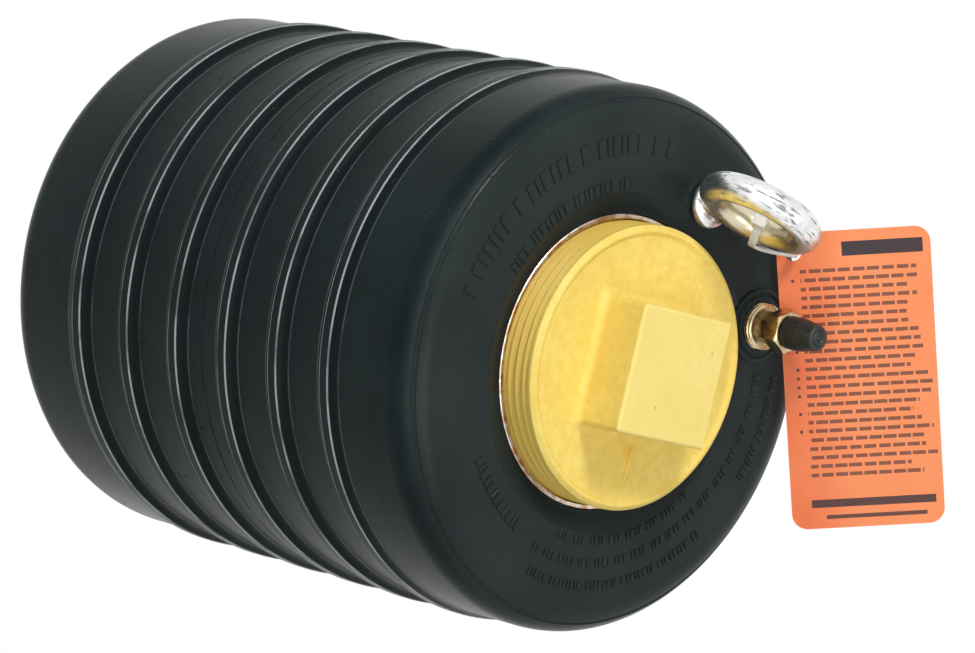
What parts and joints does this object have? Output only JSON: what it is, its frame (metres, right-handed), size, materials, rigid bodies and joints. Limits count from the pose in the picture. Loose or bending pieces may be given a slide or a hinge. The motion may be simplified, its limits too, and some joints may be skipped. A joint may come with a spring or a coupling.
{
  "type": "inflatable pipe plug",
  "caption": "Ribbed rubber plug that is inflated inside a pipe to seal it, with a bypass through its middle closed by a square-headed screw plug, an eye bolt and a filling valve.",
  "frame": {"origin": "middle of the flat top of the square head, on the plug's axis", "axes": "+Z along the plug's axis, out of its working face, so that the plug stands on its rear face; +X towards the filling valve and the tag; +Y towards the eye bolt"},
  "size_m": [0.2028, 0.175, 0.2397],
  "materials": {
    "rubber": "semi-gloss moulded rubber, nearly black with a green-blue cast, pitted and specked",
    "tube_metal": "bright cut edge of a metal tube with a warm tint",
    "yellow_plastic": "yellow moulded plastic, slightly mottled",
    "zinc": "forged steel, zinc plated, with a golden cast on the shaded sides",
    "steel": "plain steel",
    "brass": "turned brass, worn",
    "black_plastic": "black plastic, scuffed",
    "tag_sheet": "orange printed plastic sheet",
    "nylon": "milky nylon"
  },
  "bodies": {
    "plug_body": {"rubber_body": "rubber", "bypass_tube": "tube_metal", "eye_bolt": "zinc", "eye_insert": "steel", "valve_grommet": "rubber", "valve_bush": "brass", "valve_body": "brass", "valve_core": "brass", "valve_spring": "steel", "tag": "tag_sheet", "tag_tie": "nylon"},
    "bypass_closure": {"bypass_plug": "yellow_plastic"},
    "cap": {"valve_cap": "black_plastic"},
    "pin": {"valve_pin": "brass"}
  },
  "joints": [
    {"name": "bypass_lift", "type": "slide", "parent": "plug_body", "child": "bypass_closure", "axis": [0, 0, 1], "range_m": [0, 0.07]},
    {"name": "cap_lift", "type": "slide", "parent": "plug_body", "child": "cap", "axis": [0, 0, 1], "range_m": [0, 0.032]},
    {"name": "pin_press", "type": "slide", "parent": "plug_body", "child": "pin", "axis": [0, 0, -1], "range_m": [0, 0.0015], "stiffness_N_per_m": 300, "springref_m": -0.001, "deforming": ["valve_spring"]}
  ]
}
